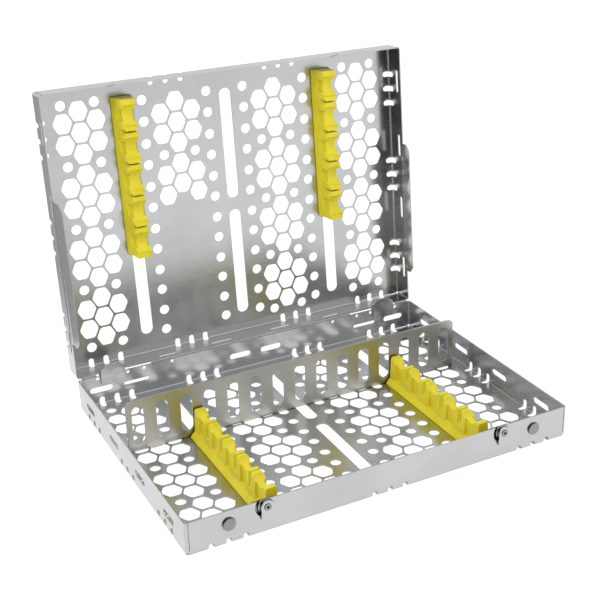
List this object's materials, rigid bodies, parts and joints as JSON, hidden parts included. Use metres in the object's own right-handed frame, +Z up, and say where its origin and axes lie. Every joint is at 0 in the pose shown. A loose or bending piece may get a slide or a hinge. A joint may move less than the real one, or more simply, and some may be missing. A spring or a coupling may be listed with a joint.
{
  "type": "dental instrument cassette",
  "caption": "Perforated steel sterilisation cassette: base tray, hinged lid, silicone instrument rails, lift-out divider and turning latch levers.",
  "frame": {"origin": "middle of the base tray's underside, on the surface the cassette stands on", "axes": "+X to the right along the hinge, +Y from the latches towards the hinge, +Z up"},
  "size_m": [0.28, 0.2434, 0.229],
  "materials": {
    "sheet_steel": "satin",
    "pin_steel": "satin",
    "silicone": "matte"
  },
  "bodies": {
    "base": {"base_tray": "sheet_steel", "divider": "sheet_steel", "base_rail_left": "silicone", "base_rail_right": "silicone", "hinge_pin_left": "pin_steel", "hinge_pin_right": "pin_steel", "lever_rivet_left": "pin_steel", "lever_rivet_right": "pin_steel", "lever_washer_left": "pin_steel", "lever_washer_right": "pin_steel", "latch_backing_left": "pin_steel", "latch_backing_right": "pin_steel", "front_stud_left": "pin_steel", "front_stud_right": "pin_steel"},
    "lid": {"lid_tray": "sheet_steel", "lid_rail_left": "silicone", "lid_rail_right": "silicone"},
    "lever_left": {"latch_lever_left": "sheet_steel", "lever_pin_left": "pin_steel"},
    "lever_right": {"latch_lever_right": "sheet_steel", "lever_pin_right": "pin_steel"}
  },
  "joints": [
    {"name": "lid_hinge", "type": "hinge", "parent": "base", "child": "lid", "pos_m": [0, 0.1036, 0.02307], "axis": [1, 0, 0], "range_deg": [0, 94.6]},
    {"name": "lever_left_turn", "type": "hinge", "parent": "base", "child": "lever_left", "pos_m": [-0.087, -0.104, 0.0186], "axis": [0, 1, 0], "range_deg": [0, 180]},
    {"name": "lever_right_turn", "type": "hinge", "parent": "base", "child": "lever_right", "pos_m": [0.087, -0.104, 0.0186], "axis": [0, 1, 0], "range_deg": [0, 180]}
  ]
}
